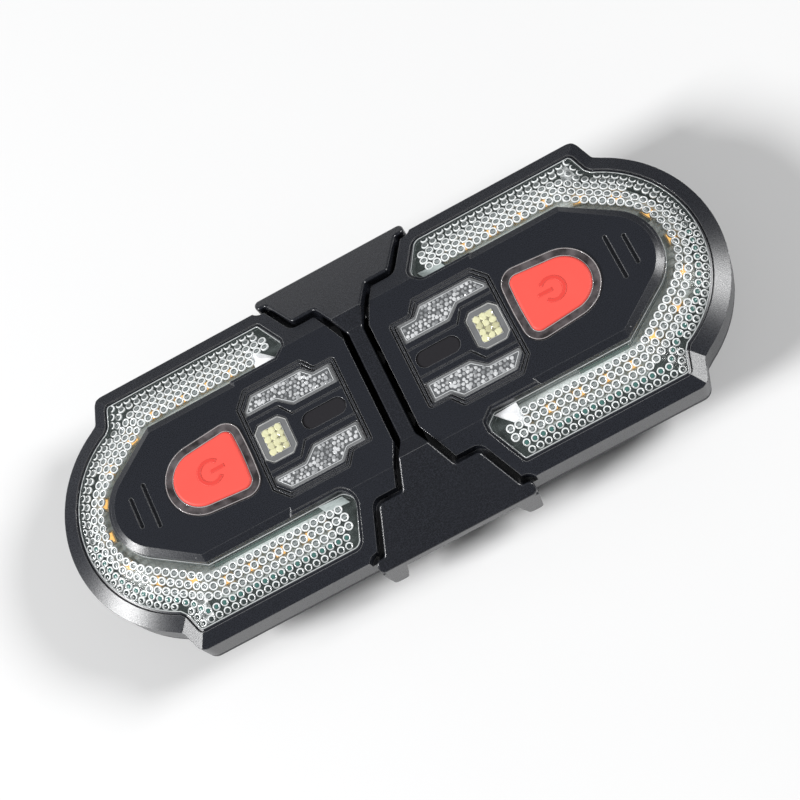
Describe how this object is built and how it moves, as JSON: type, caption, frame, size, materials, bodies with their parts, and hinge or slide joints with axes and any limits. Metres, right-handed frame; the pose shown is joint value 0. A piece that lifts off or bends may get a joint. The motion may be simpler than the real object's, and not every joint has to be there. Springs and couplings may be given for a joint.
{
  "type": "bicycle turn signal light",
  "caption": "Flat twin bicycle turn signal light: two black lamps with U-shaped clear lenses and red power buttons, end to end in a saddle bracket with a seat post cradle.",
  "frame": {"origin": "centre of the bounding box's bottom, on the feet of the post mount", "axes": "+X along the light, +Z out of its face, +Y across it along the seat post"},
  "size_m": [0.18, 0.0798, 0.033],
  "materials": {
    "shell_plastic": "fine grained matte",
    "cover_plastic": "matte",
    "bracket_plastic": "coarser grained matte",
    "seal_rubber": "smooth",
    "pad_rubber": "fine ribbed",
    "plug_rubber": "smooth",
    "foam": "open foam",
    "screw_steel": "zinc plated",
    "port_steel": "plain",
    "clear_lens": "clear with round lenslets",
    "clear_window": "clear, faceted",
    "dark_window": "smoked",
    "clear_ring": "clear",
    "button_red": "soft matte",
    "amber_led": "phosphor",
    "white_led": "phosphor",
    "board_green": "white solder mask",
    "chip_black": "moulded",
    "plunger_white": "smooth",
    "battery_foil": "pouch foil"
  },
  "bodies": {
    "bracket": {"saddle_bracket": "bracket_plastic", "post_mount": "bracket_plastic", "post_pad": "pad_rubber", "mount_screws": "screw_steel"},
    "right_lamp": {"right_shell": "shell_plastic", "right_back_cover": "cover_plastic", "right_cover_seal": "seal_rubber", "right_cover_screws": "screw_steel", "right_signal_lens": "clear_lens", "right_signal_leds": "amber_led", "right_circuit_board": "board_green", "right_board_screws": "screw_steel", "right_board_chips": "chip_black", "right_upper_window": "clear_window", "right_lower_window": "clear_window", "right_light_window": "clear_window", "right_sensor_window": "dark_window", "right_white_leds": "white_led", "right_light_sensor": "chip_black", "right_button_ring": "clear_ring", "right_switch_body": "chip_black", "right_battery": "battery_foil", "right_battery_pad": "foam", "right_charging_port": "port_steel"},
    "right_push": {"right_button": "button_red", "right_switch_plunger": "plunger_white"},
    "right_flap": {"right_port_plug": "plug_rubber"},
    "left_lamp": {"left_shell": "shell_plastic", "left_back_cover": "cover_plastic", "left_cover_seal": "seal_rubber", "left_cover_screws": "screw_steel", "left_signal_lens": "clear_lens", "left_signal_leds": "amber_led", "left_circuit_board": "board_green", "left_board_screws": "screw_steel", "left_board_chips": "chip_black", "left_upper_window": "clear_window", "left_lower_window": "clear_window", "left_light_window": "clear_window", "left_sensor_window": "dark_window", "left_white_leds": "white_led", "left_light_sensor": "chip_black", "left_button_ring": "clear_ring", "left_switch_body": "chip_black", "left_battery": "battery_foil", "left_battery_pad": "foam", "left_charging_port": "port_steel"},
    "left_push": {"left_button": "button_red", "left_switch_plunger": "plunger_white"},
    "left_flap": {"left_port_plug": "plug_rubber"}
  },
  "joints": [
    {"name": "right_lamp_slide", "type": "slide", "parent": "bracket", "child": "right_lamp", "axis": [1, 0, 0], "range_m": [0, 0.025]},
    {"name": "right_button_press", "type": "slide", "parent": "right_lamp", "child": "right_push", "axis": [0, 0, -1], "range_m": [0, 0.0006], "stiffness_N_per_m": 600, "springref_m": -0.0015},
    {"name": "right_plug_hinge", "type": "hinge", "parent": "right_lamp", "child": "right_flap", "pos_m": [0.0784, 0, 0.01275], "axis": [0, -1, 0], "range_deg": [0, 110]},
    {"name": "left_lamp_slide", "type": "slide", "parent": "bracket", "child": "left_lamp", "axis": [-1, 0, 0], "range_m": [0, 0.025]},
    {"name": "left_button_press", "type": "slide", "parent": "left_lamp", "child": "left_push", "axis": [0, 0, -1], "range_m": [0, 0.0006], "stiffness_N_per_m": 600, "springref_m": -0.0015},
    {"name": "left_plug_hinge", "type": "hinge", "parent": "left_lamp", "child": "left_flap", "pos_m": [-0.0784, 0, 0.01275], "axis": [0, 1, 0], "range_deg": [0, 110]}
  ]
}
